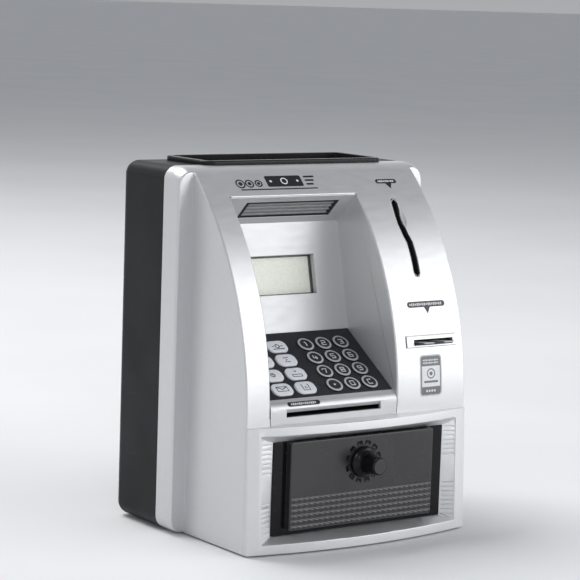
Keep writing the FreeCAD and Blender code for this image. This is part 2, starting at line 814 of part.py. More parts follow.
def make_coin_chute():
    thick = 1.6
    outer = [(8, 159.0), (8, 213), (82, 213), (82, 75), (52, 75), (52, 134), (14, 159.0)]
    inner = [(0, 161.5), (0, 213 - thick), (82 - thick, 213 - thick), (82 - thick, 70),
             (52 + thick, 70), (52 + thick, 135.2), (14.3, 161.5)]
    solid = prism(outer, chute_left, chute_right)
    solid = solid.cut(prism(inner, chute_left + thick, chute_right - thick))
    solid = solid.common(case_slice(wall, far, seam_y))
    solid = solid.cut(front_skin(-1, 3.7, 40, 80, 150, 220).common(slot_shape(coin_slot_radius + 0.1)))
    window = box(chute_left - 1, chute_left + thick + 1, 62, 70, 112, 131)
    ears = [box(49.2, chute_left, y, y + 1.4, 125.6, 130.4) for y in (60.9, 69.7)]
    pin = along_y(0.8, 60.9, 71.1, 51.2, 128)
    return fuse([solid.cut(window)] + ears + [pin])


def make_coin_flag():
    hub = along_y(1.8, 62.6, 69.4, 51.2, 128)
    arm = box(51.2, 60.5, 63.2, 68.8, 127.4, 128.6)
    return fuse([hub, arm]).cut(along_y(0.8 + running_gap, 60, 72, 51.2, 128))


# Card path


def make_card_bezel():
    flange = front_skin(-0.9, 0.0, 39.5, 80.0, 121.3, 128.3)
    neck = front_skin(0.0, 3.4, 40.6, 78.9, 122.0, 127.6)
    x0, x1, z0, z1 = card_slot
    return fuse([flange, neck]).cut(box(x0, x1, -5, 20, z0, z1))


def make_card_guide():
    """A flat sleeve behind the bezel, closed at its far end."""
    sleeve = box(43.2, 79.4, 8.6, 50.0, 120.9, 127.6)
    cavity = box(45.5, 77.1, 0, 48.0, 122.9, 125.1)
    window = box(66, 74, 40, 46, 118, 124)
    return sleeve.cut(cavity).cut(window)


def make_security_card():
    return rounded_box(46.0, 76.6, -0.2, 46.0, 123.6, 124.4, 2.0)


def make_card_switch():
    case = box(64, 76, 38, 48, 113.6, 120.9)
    lever = box(67, 73, 41, 45, 120.9, 122.4)
    return fuse([case, lever])


# Banknote feed


def driven_z():
    return bill_plane + roller_radius + running_gap


def pinch_z():
    return bill_plane - roller_radius - running_gap


def make_bill_guide():
    floor_rise = 1.8
    cheeks = []
    for x in (-61.0, 19.8):
        cheek = prism([(wall, 77.5), (46, 77.5), (46, 110), (13, 89.4), (wall, 87.9)], x, x + 2.2)
        holes = along_x(1.5 + running_gap, x - 1, x + 4, roller_y, driven_z())
        cheeks.append(cheek.cut(holes).cut(along_x(1.5 + running_gap, x - 1, x + 4, roller_y, pinch_z())))
    plates = []
    for y0, y1 in ((wall, 20.6), (33.4, 46)):
        plates.append(box(-58.8, 19.8, y0, y1, bill_slot[2] - floor_rise, bill_slot[2]))
        plates.append(box(-58.8, 19.8, y0, y1, bill_slot[3], bill_slot[3] + 1.2))
    strap = box(22.0, 29.5, 28, 46, 77.5, 79.0)
    bracket = box(28.4, 29.8, 28, 50, 77.5, 100)
    bracket = bracket.cut(along_x(3.0, 25, 32, roller_y + mesh_distance(), driven_z()))
    bracket = bracket.cut(along_x(2.0, 25, 32, roller_y, driven_z()))
    return fuse(cheeks + plates + [strap, bracket])


def mesh_distance():
    return module * (gear_teeth + pinion_teeth) / 2


def roller(end, z):
    """An axle with three wide tyres on it."""
    tyres = [along_x(roller_radius, x, x + 14, roller_y, z) for x in (-52, -26, 0)]
    return fuse([along_x(1.5, -61.4, end, roller_y, z)] + tyres)


def make_feed_roller():
    return roller(28.0, driven_z())


def make_pinch_roller():
    return roller(22.4, pinch_z())


def toothed_wheel(teeth, x0, x1, y, z, bore, first_angle):
    """A spur wheel with straight flanks, thinned for easy running."""
    pitch_radius = module * teeth / 2
    tip = pitch_radius + 0.75 * module
    root = pitch_radius - 1.15 * module
    step = 360.0 / teeth
    points = []
    for index in range(teeth):
        middle = first_angle + index * step
        for radius, share in ((root, -0.30), (tip, -0.11), (tip, 0.11), (root, 0.30)):
            angle = radians(middle + share * step)
            points.append((y + radius * cos(angle), z + radius * sin(angle)))
    wheel = prism(points, x0, x1)
    return wheel.cut(along_x(bore, x0 - 1, x1 + 1, y, z))


def make_feed_gear():
    return toothed_wheel(gear_teeth, 23.0, 27.6, roller_y, driven_z(), 1.5, 0.0)


def make_motor_pinion():
    """The pinion with the motor's shaft."""
    y = roller_y + mesh_distance()
    wheel = toothed_wheel(pinion_teeth, 23.0, 27.6, y, driven_z(), 1.0, 22.5)
    return fuse([wheel, along_x(1.0, 22.6, 34.0, y, driven_z())])


def make_feed_motor():
    y = roller_y + mesh_distance()
    z = driven_z()
    can = along_x(10.0, 29.8, 52.0, y, z).common(box(20, 60, 0, 80, z - 7.6, z + 7.6))
    nose_ring = along_x(3.0, 28.2, 29.8, y, z)
    return fuse([can, nose_ring]).cut(along_x(1.0 + running_gap, 28, 34.5, y, z))


# Back of the case


def make_speaker():
    y = rear_y - wall
    outline = [(0, 0), (20, 0), (20, -2.0), (17, -2.0), (10, -7.0), (10, -12.0), (0, -12.0)]
    dish = [(0, 1), (17, 1), (17, -0.6), (6, -4.0), (0, -4.0)]
    origin = Vector(0, y, speaker_z)
    return spun(outline, origin, y_axis).cut(spun(dish, origin, y_axis))


def make_battery_box():
    outer = box(-34, 34, 115, rear_y - wall, 19, 73)
    return outer.cut(box(-32, 32, 117, rear_y, 21, 71))


def make_batteries():
    cells = []
    for index, z in enumerate(battery_heights):
        way = 1 if index % 2 == 0 else -1
        cell = along_x(7.2, -24.6, 24.6, battery_y, z)
        button = rod(2.6, Vector(way * 24.6, battery_y, z), Vector(way * 25.8, battery_y, z))
        cells.append(cell.fuse(button).removeSplitter())
    return Part.makeCompound(cells)


def make_battery_contacts():
    """Plates at both ends of the cells, with a nib or a spring's outer shape for each cell."""
    contacts = []
    for side in (-1, 1):
        plate = box(min(side * 31.6, side * 32), max(side * 31.6, side * 32), 119, 132, 23, 69)
        pads = [plate]
        for index, z in enumerate(battery_heights):
            faces_button = (index % 2 == 0) == (side > 0)
            reach = 25.8 if faces_button else 24.6
            radius = 2.0 if faces_button else 3.4
            start = Vector(side * 31.6, battery_y, z)
            pads.append(rod(radius, start, Vector(side * reach, battery_y, z)))
        contacts.append(fuse(pads))
    return Part.makeCompound(contacts)


def make_battery_cover():
    gap = 0.2
    plate = rounded_box(gap - cover_half, cover_half - gap, rear_y - cover_thick, rear_y,
                        cover_low + gap, cover_high - gap, 2.8, y_axis)
    ribs = [box(-12, 12, rear_y - 0.4, rear_y + 1, z, z + 1.2) for z in (24, 27.5, 31)]
    for rib in ribs:
        plate = plate.cut(rib)
    counterbore = along_y(2.7, rear_y - 0.6, rear_y + 1, 0, cover_high - 4.5)
    return plate.cut(along_y(1.2, 130, 140, 0, cover_high - 4.5)).cut(counterbore)


def make_cover_screw():
    z = cover_high - 4.5
    head = along_y(2.6, rear_y - 0.6, rear_y + 0.0, 0, z)
    shank = along_y(1.15, rear_y - 8.0, rear_y - 0.6, 0, z)
    cross = box(-1.6, 1.6, rear_y - 0.35, rear_y + 1, z - 0.3, z + 0.3)
    slot = box(-0.3, 0.3, rear_y - 0.35, rear_y + 1, z - 1.6, z + 1.6)
    return fuse([head, shank]).cut(cross).cut(slot)


def main():
    os.makedirs("parts", exist_ok=True)
    makers = {
        "front_shell": make_front_shell,
        "rear_shell": make_rear_shell,
        "case_screws": make_case_screws,
        "rubber_feet": make_rubber_feet,
        "top_tray": make_top_tray,
        "alcove_insert": make_alcove_insert,
        "lcd_window": make_lcd_window,
        "lcd_module": make_lcd_module,
        "control_board": make_control_board,
        "lamp_lens": make_lamp_lens,
        "lamp_board": make_lamp_board,
        "keypad_plate": make_keypad_plate,
        "key_membrane": make_key_membrane,
        "keypad_board": make_keypad_board,
        "vault_frame": make_vault_frame,
        "vault_door": make_vault_door,
        "door_hinge_pins": make_hinge_pins,
        "dial_knob": make_dial_knob,
        "latch_crank": make_latch_crank,
        "latch_bolt": make_latch_bolt,
        "vault_box": make_vault_box,
        "coin_slot_liner": make_coin_slot_liner,
        "coin_chute": make_coin_chute,
        "coin_flag": make_coin_flag,
        "card_bezel": make_card_bezel,
        "card_guide": make_card_guide,
        "security_card": make_security_card,
        "card_switch": make_card_switch,
        "bill_guide": make_bill_guide,
        "feed_roller": make_feed_roller,
        "feed_gear": make_feed_gear,
        "pinch_roller": make_pinch_roller,
        "feed_motor": make_feed_motor,
        "motor_pinion": make_motor_pinion,
        "speaker": make_speaker,
        "battery_box": make_battery_box,
        "batteries": make_batteries,
        "battery_contacts": make_battery_contacts,
        "battery_cover": make_battery_cover,
        "cover_screw": make_cover_screw,
    }
    for name, maker in makers.items():
        write(name, maker())
    write_keys()


main()
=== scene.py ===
import json
from math import asin, atan2, cos, pi, radians, sin

import bmesh
import bpy
from mathutils import Matrix, Vector


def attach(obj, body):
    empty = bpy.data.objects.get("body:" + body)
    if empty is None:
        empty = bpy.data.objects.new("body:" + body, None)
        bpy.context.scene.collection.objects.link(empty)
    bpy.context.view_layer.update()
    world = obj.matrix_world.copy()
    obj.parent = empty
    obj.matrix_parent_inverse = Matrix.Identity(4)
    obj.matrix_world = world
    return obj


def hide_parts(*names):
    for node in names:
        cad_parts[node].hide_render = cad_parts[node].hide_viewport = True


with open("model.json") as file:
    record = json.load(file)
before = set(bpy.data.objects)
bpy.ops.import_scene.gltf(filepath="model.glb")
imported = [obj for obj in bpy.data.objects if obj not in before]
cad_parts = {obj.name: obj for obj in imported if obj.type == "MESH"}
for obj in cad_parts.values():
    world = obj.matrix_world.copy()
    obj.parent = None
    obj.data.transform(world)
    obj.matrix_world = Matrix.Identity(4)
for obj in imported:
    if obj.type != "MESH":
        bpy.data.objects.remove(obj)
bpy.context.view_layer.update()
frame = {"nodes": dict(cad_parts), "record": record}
print("frame loaded,", len(frame["nodes"]), "nodes")

# Pieces are drawn in case millimetres: X right, Y back from the flat front, Z up from the underside.
fromCase = Matrix.Translation((0, -0.0562, 0.0012)) @ Matrix.Scale(0.001, 4)
slopes = {  # (Y, Z) at the foot and at the top of each sloping surface
    "deck": ((5.3, 94.8), (55.8, 127.5)),
    "backWall": ((55.8, 127.5), (72.0, 197.5)),
    "ceiling": ((72.0, 197.5), (51.2, 216.8)),
}
arcs = {  # surfaces rolled about an X axis: the axis's Y and Z, and the radius
    "front": (197.8, 84.0, 197.8),
    "lip": (5.5, 88.38, 5.5),
}


# ---- placing

def onSlope(name):
    # a drawing's Y runs up the slope and its Z stands out of it
    (y0, z0), (y1, z1) = slopes[name]
    turn = Matrix.Rotation(atan2(z1 - z0, y1 - y0), 4, "X")
    return fromCase @ Matrix.Translation((0, y0, z0)) @ turn


def onFace(y):
    # a drawing on an upright plane: its Y becomes height and its Z points to the front
    return fromCase @ Matrix.Translation((0, y, 0)) @ Matrix.Rotation(pi / 2, 4, "X")


def riseTo(name, height):
    # distance along an arc from its level point up to a height
    axisZ, radius = arcs[name][1:]
    return height - axisZ if height < axisZ else radius * asin(min(1, (height - axisZ) / radius))


def wrap(bm, name):
    # rolls a flat drawing onto an arc, where its Y is the distance along the arc
    axisY, axisZ, radius = arcs[name]
    for vert in bm.verts:
        x, rise, out = vert.co
        if rise < 0:
            vert.co = (x, axisY - radius - out, axisZ + rise)
        else:
            turn = rise / radius
            vert.co = (x, axisY - (radius + out) * cos(turn), axisZ + (radius + out) * sin(turn))


# ---- shapes, each a new bmesh

def block(low, high, corner=0.0, edge=0.0, steps=4):
    # a plate or bar between two corners, with rounded upright corners and a softened top
    low, high = Vector(low), Vector(high)
    place = Matrix.Translation((low + high) / 2) @ Matrix.Diagonal((*(high - low), 1))
    bm = bmesh.new()
    bmesh.ops.create_cube(bm, size=1, matrix=place)
    if corner:
        upright = [e for e in bm.edges if abs(e.verts[0].co.z - e.verts[1].co.z) > 1e-6]
        roundEdges(bm, upright, corner, steps)
    if edge:
        top = [e for e in bm.edges if min(v.co.z for v in e.verts) > high.z - 1e-6]
        roundEdges(bm, top, edge, 3)
    return bm


def roundEdges(bm, edges, radius, steps):
    bmesh.ops.bevel(bm, geom=edges, offset=radius, offset_type="OFFSET", affect="EDGES",
                    segments=steps, profile=0.5, clamp_overlap=True, material=-1)


def spun(profile, steps=48):
    # a closed (radius, height) outline turned about Z
    bm = bmesh.new()
    corners = [bm.verts.new((radius, 0, height)) for radius, height in profile]
    edges = [bm.edges.new(pair) for pair in zip(corners, corners[1:] + corners[:1])]
    if profile[0][0] == 0:
        bm.edges.remove(edges.pop())  # a run on the axis closes by itself
    bmesh.ops.spin(bm, geom=corners + edges, cent=(0, 0, 0), axis=(0, 0, 1), angle=2 * pi,
                   steps=steps, use_merge=True)
    bmesh.ops.remove_doubles(bm, verts=bm.verts, dist=1e-5)
    bmesh.ops.recalc_face_normals(bm, faces=bm.faces)
    return bm


def ring(inner, outer, low, high, steps=48):
    return spun([(inner, low), (outer, low), (outer, high), (inner, high)], steps)


def disc(radius, low, high, steps=32):
    bm = bmesh.new()
    bmesh.ops.create_cone(bm, cap_ends=True, segments=steps, radius1=radius, radius2=radius,
                          depth=high - low, matrix=Matrix.Translation((0, 0, (low + high) / 2)))
    return bm


def strokes(paths, width, rise):
    # drawn lines of one width; a path that ends where it began is closed
    curve = bpy.data.curves.new("line", "CURVE")
    curve.dimensions = "3D"
    curve.bevel_depth = width / 2
    curve.bevel_resolution = 2
    curve.use_fill_caps = True
    for path in paths:
        closed = path[0] == path[-1]
        points = path[:-1] if closed else path
        spline = curve.splines.new("POLY")
        spline.points.add(len(points) - 1)
        for point, (x, y) in zip(spline.points, points):
            point.co = (x, y, 0, 1)
        spline.use_cyclic_u = closed
    holder = bpy.data.objects.new("line", curve)
    mesh = bpy.data.meshes.new_from_object(holder)
    bm = bmesh.new()
    bm.from_mesh(mesh)
    bmesh.ops.scale(bm, vec=(1, 1, 2 * rise / width), verts=bm.verts)
    bpy.data.objects.remove(holder)
    bpy.data.curves.remove(curve)
    bpy.data.meshes.remove(mesh)
    return bm


def sliced(bm, step):
    # cuts a flat drawing across Y so that it can roll onto an arc
    heights = [v.co.y for v in bm.verts]
    cut = min(heights) + step
    while cut < max(heights):
        bmesh.ops.bisect_plane(bm, geom=bm.verts[:] + bm.edges[:] + bm.faces[:],
                               plane_co=(0, cut, 0), plane_no=(0, 1, 0))
        cut += step
    return bm


def moved(bm, x=0.0, y=0.0, z=0.0, turn=0.0):
    bm.transform(Matrix.Translation((x, y, z)) @ Matrix.Rotation(turn, 4, "Z"))
    return bm


def gathered(parts):
    # joins (bmesh, material number) pairs into one
    whole = bmesh.new()
    for part, material in parts:
        for face in part.faces:
            face.material_index = material
        carrier = bpy.data.meshes.new("carrier")
        part.to_mesh(carrier)
        part.free()
        whole.from_mesh(carrier)
        bpy.data.meshes.remove(carrier)
    return whole


def finishPiece(name, bm, place, body, materials, replaces=(), sharp=38):
    bm.transform(place)
    mesh = bpy.data.meshes.new(name)
    bm.to_mesh(mesh)
    bm.free()
    for polygon in mesh.polygons:
        polygon.use_smooth = True
    mesh.set_sharp_from_angle(angle=radians(sharp))
    for material in materials:
        mesh.materials.append(material)
    piece = bpy.data.objects.new(name, mesh)
    bpy.context.scene.collection.objects.link(piece)
    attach(piece, body)
    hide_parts(*replaces)
    return piece


# ---- materials

def startMaterial(name):
    material = bpy.data.materials.new(name)
    material.use_nodes = True
    tree = material.node_tree
    shader = tree.nodes["Principled BSDF"]
    return material, tree, shader


def addNode(tree, kind, **values):
    node = tree.nodes.new("ShaderNode" + kind)
    for key, value in values.items():
        if key in node.inputs:
            node.inputs[key].default_value = value
        else:
            setattr(node, key, value)
    return node


def join(tree, source, target):
    tree.links.new(source, target)


def noiseOf(tree, vector, scale, detail=2.0, stretch=None):
    if stretch:
        mapping = addNode(tree, "Mapping")
        mapping.inputs["Scale"].default_value = stretch
        join(tree, vector, mapping.inputs["Vector"])
        vector = mapping.outputs["Vector"]
    noise = addNode(tree, "TexNoise", Scale=scale, Detail=detail)
    join(tree, vector, noise.inputs["Vector"])
    return noise.outputs["Fac"]


def ranged(tree, value, low, high, fromLow=0.3, fromHigh=0.7):
    node = addNode(tree, "MapRange")
    for key, number in (("From Min", fromLow), ("From Max", fromHigh), ("To Min", low), ("To Max", high)):
        node.inputs[key].default_value = number
    join(tree, value, node.inputs["Value"])
    return node.outputs["Result"]


def mixed(tree, factor, first, second):
    # a colour between two; each is a colour or a socket
    node = addNode(tree, "Mix", data_type="RGBA")
    join(tree, factor, node.inputs["Factor"])
    for socket, value in ((node.inputs[6], first), (node.inputs[7], second)):
        if isinstance(value, tuple):
            socket.default_value = (*value, 1)
        else:
            join(tree, value, socket)
    return node.outputs[2]


def shaded(colour, amount):
    return tuple(min(1.0, channel * amount) for channel in colour)


def bumped(tree, shader, layers):
    # stacks (height, depth in metres) layers into one normal
    normal = None
    for height, depth in layers:
        bump = addNode(tree, "Bump", Distance=depth, Strength=1.0)
        join(tree, height, bump.inputs["Height"])
        if normal:
            join(tree, normal, bump.inputs["Normal"])
        normal = bump.outputs["Normal"]
    join(tree, normal, shader.inputs["Normal"])


def moulding(name, look):
    # moulded plastic: fine grain, soft waviness, handling marks and a little dust
    material, tree, shader = startMaterial(name)
    place = addNode(tree, "TexCoord").outputs["Object"]
    grain = noiseOf(tree, place, look["grain"], 3)
    wave = noiseOf(tree, place, 60, 1)
    cloud = noiseOf(tree, place, 28, 4)
    scuff = noiseOf(tree, place, 380, 3, stretch=(1, 0.12, 1.6))
    tone = mixed(tree, ranged(tree, cloud, 0, 1), shaded(look["colour"], 0.93), look["colour"])
    tone = mixed(tree, ranged(tree, scuff, 0, look["marks"], 0.62, 0.75), tone, look["dust"])
    join(tree, tone, shader.inputs["Base Color"])
    rough = ranged(tree, cloud, look["rough"] * 0.85, look["rough"] * 1.2)
    join(tree, rough, shader.inputs["Roughness"])
    bumped(tree, shader, [(wave, look["wave"]), (grain, look["depth"])])
    shader.inputs["Metallic"].default_value = look.get("metal", 0)
    shader.inputs["Coat Weight"].default_value = look.get("coat", 0)
    shader.inputs["Coat Roughness"].default_value = 0.08
    shader.inputs["Specular IOR Level"].default_value = look.get("shine", 0.5)
    return material


def flakePaint(name, look):
    # sprayed silver: bright flakes under a thin lacquer with a faint orange peel
    material, tree, shader = startMaterial(name)
    place = addNode(tree, "TexCoord").outputs["Object"]
    flake = addNode(tree, "TexVoronoi", Scale=5200.0)
    join(tree, place, flake.inputs["Vector"])
    spark = addNode(tree, "SeparateColor")
    join(tree, flake.outputs["Color"], spark.inputs["Color"])
    cloud = noiseOf(tree, place, 22, 3)
    handled = noiseOf(tree, place, 300, 3, stretch=(0.35, 1, 1))
    tone = mixed(tree, ranged(tree, spark.outputs["Red"], 0, 1, 0, 1),
                 shaded(look["colour"], 0.94), shaded(look["colour"], 1.05))
    tone = mixed(tree, ranged(tree, cloud, 0, 0.35), tone, shaded(look["colour"], 0.97))
    join(tree, tone, shader.inputs["Base Color"])
    rough = ranged(tree, handled, look["rough"] * 0.92, look["rough"] * 1.12)
    join(tree, rough, shader.inputs["Roughness"])
    peel = noiseOf(tree, place, 420, 2)
    bumped(tree, shader, [(peel, 0.000012), (spark.outputs["Green"], 0.0000012)])
    shader.inputs["Metallic"].default_value = look["metal"]
    shader.inputs["Coat Weight"].default_value = 0.2
    shader.inputs["Coat Roughness"].default_value = 0.12
    return material


def printInk(name, colour, rough):
    # pad-printed ink with a slightly uneven film
    material, tree, shader = startMaterial(name)
    place = addNode(tree, "TexCoord").outputs["Object"]
    film = noiseOf(tree, place, 900, 3)
    tone = mixed(tree, ranged(tree, film, 0, 1), shaded(colour, 0.88), colour)
    join(tree, tone, shader.inputs["Base Color"])
    join(tree, ranged(tree, film, rough * 0.8, rough * 1.2), shader.inputs["Roughness"])
    bumped(tree, shader, [(film, 0.000006)])
    return material


def metalStock(name, look):
    # drawn or plated metal with fine lines
    material, tree, shader = startMaterial(name)
    place = addNode(tree, "TexCoord").outputs["Object"]
    lines = noiseOf(tree, place, 700, 3, stretch=look["lines"])
    stain = noiseOf(tree, place, 90, 4)
    tone = mixed(tree, ranged(tree, stain, 0, 1), shaded(look["colour"], 0.82), look["colour"])
    join(tree, tone, shader.inputs["Base Color"])
    join(tree, ranged(tree, lines, look["rough"] * 0.7, look["rough"] * 1.3), shader.inputs["Roughness"])
    bumped(tree, shader, [(lines, 0.00001)])
    shader.inputs["Metallic"].default_value = 1
    return material


def clearPlastic(name, look):
    material, tree, shader = startMaterial(name)
    place = addNode(tree, "TexCoord").outputs["Object"]
    haze = noiseOf(tree, place, 240, 2)
    tone = mixed(tree, ranged(tree, haze, 0, 1), shaded(look["colour"], 0.94), look["colour"])
    join(tree, tone, shader.inputs["Base Color"])
    join(tree, ranged(tree, haze, look["rough"], look["rough"] * 2.5), shader.inputs["Roughness"])
    join(tree, ranged(tree, haze, look["alpha"], look["alpha"] * 1.08), shader.inputs["Alpha"])
    bumped(tree, shader, [(haze, 0.000004)])
    return material


def circuitBoard(name):
    # green lacquer over copper runs
    material, tree, shader = startMaterial(name)
    place = addNode(tree, "TexCoord").outputs["Object"]
    runs = addNode(tree, "TexBrick", Scale=160.0)
    runs.inputs["Mortar Size"].default_value = 0.05
    join(tree, place, runs.inputs["Vector"])
    lacquer = noiseOf(tree, place, 60, 3)
    tone = mixed(tree, runs.outputs["Fac"], (0.012, 0.13, 0.045), (0.03, 0.22, 0.08))
    tone = mixed(tree, ranged(tree, lacquer, 0, 0.4), tone, (0.01, 0.09, 0.03))
    join(tree, tone, shader.inputs["Base Color"])
    join(tree, ranged(tree, lacquer, 0.25, 0.4), shader.inputs["Roughness"])
    bumped(tree, shader, [(runs.outputs["Fac"], 0.00004)])
    return material


def cellWrap(name):
    # dry cells: dark jacket with a coloured band along the row
    material, tree, shader = startMaterial(name)
    place = addNode(tree, "TexCoord").outputs["Object"]
    axes = addNode(tree, "SeparateXYZ")
    join(tree, place, axes.inputs["Vector"])
    band = ranged(tree, axes.outputs["X"], 0, 1, 0.0085, 0.0088)
    film = noiseOf(tree, place, 500, 2)
    tone = mixed(tree, band, (0.02, 0.02, 0.025), (0.45, 0.28, 0.08))
    join(tree, tone, shader.inputs["Base Color"])
    join(tree, ranged(tree, film, 0.22, 0.36), shader.inputs["Roughness"])
    bumped(tree, shader, [(film, 0.00001)])
    shader.inputs["Metallic"].default_value = 0.6
    return material


def stripedCard(name, look):
    # glossy card with broad slanting bands
    material, tree, shader = startMaterial(name)
    place = addNode(tree, "TexCoord").outputs["Object"]
    wave = addNode(tree, "TexWave", Scale=38.0, bands_direction="DIAGONAL")
    join(tree, place, wave.inputs["Vector"])
    film = noiseOf(tree, place, 500, 2)
    bands = ranged(tree, wave.outputs["Fac"], 0, 1, 0.45, 0.55)
    tone = mixed(tree, bands, (0.03, 0.03, 0.032), look["colour"])
    join(tree, tone, shader.inputs["Base Color"])
    join(tree, ranged(tree, film, look["rough"] * 0.8, look["rough"] * 1.2), shader.inputs["Roughness"])
    bumped(tree, shader, [(film, 0.000004)])
    return material


silverLook = {"colour": (0.66, 0.66, 0.675), "rough": 0.4, "metal": 0.7}
alcoveLook = {"colour": (0.6, 0.6, 0.615), "rough": 0.4, "metal": 0.45}
blackLook = {"colour": (0.007, 0.007, 0.008), "rough": 0.42, "grain": 2600, "depth": 0.00003,
             "wave": 0.00006, "marks": 0.2, "dust": (0.045, 0.045, 0.048), "shine": 0.2}
glossLook = {"colour": (0.012, 0.012, 0.014), "rough": 0.16, "grain": 900, "depth": 0.000004,
             "wave": 0.00005, "marks": 0.12, "dust": (0.08, 0.08, 0.085), "coat": 0.5}
trayLook = {**glossLook, "rough": 0.24, "coat": 0, "shine": 0.22}
plateLook = {**glossLook, "colour": (0.01, 0.01, 0.016), "rough": 0.3, "coat": 0.2}
doorLook = {**glossLook, "colour": (0.024, 0.023, 0.025), "rough": 0.27, "coat": 0.1}
# rope ribs far lighter than the door's own plastic: a painted highlight along the strands
ribHighlightLook = {**doorLook, "colour": (0.15, 0.148, 0.153), "rough": 0.25}
knobLook = {**glossLook, "colour": (0.005, 0.005, 0.006), "rough": 0.13, "coat": 0, "shine": 0.22}
innerLook = {**blackLook, "colour": (0.02, 0.02, 0.022), "rough": 0.55}
greyKeyLook = {"colour": (0.78, 0.8, 0.84), "rough": 0.38, "grain": 1500, "depth": 0.00001,
               "wave": 0.00003, "marks": 0.2, "dust": (0.45, 0.45, 0.46)}
nylonLook = {**greyKeyLook, "colour": (0.76, 0.75, 0.7), "rough": 0.45}
rubberLook = {"colour": (0.03, 0.03, 0.03), "rough": 0.8, "grain": 1800, "depth": 0.00008,
              "wave": 0.0001, "marks": 0.5, "dust": (0.12, 0.12, 0.115)}
greyRubberLook = {**rubberLook, "colour": (0.16, 0.16, 0.165), "rough": 0.7}
cardLook = {**greyKeyLook, "colour": (0.5, 0.52, 0.55), "rough": 0.3}

finishes = {
    "silver_paint": flakePaint("silver", silverLook),
    "alcove_silver": flakePaint("alcoveSilver", alcoveLook),
    "black_shell": moulding("blackShell", blackLook),
    "tray_black": moulding("trayBlack", trayLook),
    "keypad_black": moulding("plateBlack", plateLook),
    "key_black": moulding("keyBlack", plateLook),
    "key_grey": moulding("keyGrey", greyKeyLook),
    "door_dark": moulding("doorDark", doorLook),
    "knob_black": moulding("knobBlack", knobLook),
    "inner_black": moulding("innerBlack", innerLook),
    "white_nylon": moulding("nylon", nylonLook),
    "clear_window": clearPlastic("window", {"colour": (0.9, 0.93, 0.9), "rough": 0.04, "alpha": 0.07}),
    "lamp_clear": clearPlastic("lampClear", {"colour": (0.3, 0.3, 0.31), "rough": 0.09, "alpha": 0.75}),
    "lcd_panel": moulding("displayCarrier", innerLook),
    "board_green": circuitBoard("boardGreen"),
    "grey_rubber": moulding("greyRubber", greyRubberLook),
    "foot_rubber": moulding("footRubber", rubberLook),
    "zinc_steel": metalStock("zincSteel", {"colour": (0.6, 0.6, 0.6), "rough": 0.3, "lines": (1, 1, 0.1)}),
    "motor_can": metalStock("motorCan", {"colour": (0.62, 0.62, 0.63), "rough": 0.25, "lines": (0.1, 1, 1)}),
    "cell_jacket": cellWrap("cellJacket"),
    "speaker_black": moulding("speakerBlack", innerLook),
    "card_print": stripedCard("cardPrint", cardLook),
}
blackInk = printInk("blackInk", (0.012, 0.012, 0.014), 0.35)
whiteInk = printInk("whiteInk", (0.75, 0.76, 0.78), 0.4)
greyInk = printInk("greyInk", (0.17, 0.17, 0.18), 0.4)
ringInk = printInk("ringInk", (0.5, 0.5, 0.52), 0.3)
# painted highlight: the ribs' lighter colour stands in for light caught on the strands
ribPaintedHighlight = moulding("ribPaintedHighlight", ribHighlightLook)
iconInk = printInk("iconInk", (0.02, 0.022, 0.035), 0.45)

for row in frame["record"]["subparts"]:
    cadMesh = frame["nodes"][row["node"]].data
    cadMesh.materials[0] = finishes[row["material_slot"]]
print("materials made,", len(bpy.data.materials))


# ---- CAD shapes with softened edges

softening = {
    "flat": 0.3,        # degrees: flatter joins are merged
    "sharp": 32,        # degrees: sharper edges are rounded over
    "shortEdge": 0.01,  # metres: edges this short are always rounded over
    "room": 1.6,        # edge radii that the faces beside a longer edge have to be wide
    "steps": 2,
}
slotTop = {"front": -0.0552, "half": 0.06, "low": 0.0892, "high": 0.0912}  # metres


def hasRoom(edge, width):
    # true where both faces beside an edge are wide enough to be rounded over
    least = softening["room"] * width * edge.calc_length()
    return all(f.calc_area() > least for f in edge.link_faces)


def isSlotTop(edge):
    # the slot's upper edge meets the curved lip too closely to be rounded over
    middle = (edge.verts[0].co + edge.verts[1].co) / 2
    onLip = middle.y < slotTop["front"] and abs(middle.x) < slotTop["half"]
    return onLip and slotTop["low"] < middle.z < slotTop["high"]


def softened(name, node, body, slot, width):
    # a merged copy of a CAD node whose sharp edges are rounded over
    bm = bmesh.new()
    bm.from_mesh(frame["nodes"][node].data)
    bmesh.ops.remove_doubles(bm, verts=bm.verts, dist=1e-6)
    bmesh.ops.dissolve_limit(bm, angle_limit=radians(softening["flat"]), use_dissolve_boundaries=False,
                             verts=bm.verts, edges=bm.edges)
    sharp = [e for e in bm.edges if e.is_manifold and e.calc_face_angle() > radians(softening["sharp"])]
    edges = [e for e in sharp if (e.calc_length() < softening["shortEdge"] or hasRoom(e, width))
             and not isSlotTop(e)]
    bmesh.ops.bevel(bm, geom=edges, offset=width, offset_type="OFFSET", affect="EDGES",
                    segments=softening["steps"], profile=0.5, clamp_overlap=False, material=-1)
    piece = finishPiece(name, bm, Matrix.Identity(4), body, [finishes[slot]], [node])
    even = piece.modifiers.new("even", "WEIGHTED_NORMAL")
    even.keep_sharp = True
    return piece


def repaint(piece, material, covers, cuts=()):
    # slices a piece by planes, then gives the faces that pass a test another material
    bm = bmesh.new()
    bm.from_mesh(piece.data)
    for point, direction in cuts:
        bmesh.ops.bisect_plane(bm, geom=bm.verts[:] + bm.edges[:] + bm.faces[:],
                               plane_co=point, plane_no=direction)
    for face in bm.faces:
        if covers(face.calc_center_median(), face.normal):
            face.material_index = 1
    piece.data.materials.append(material)
    bm.to_mesh(piece.data)
    bm.free()


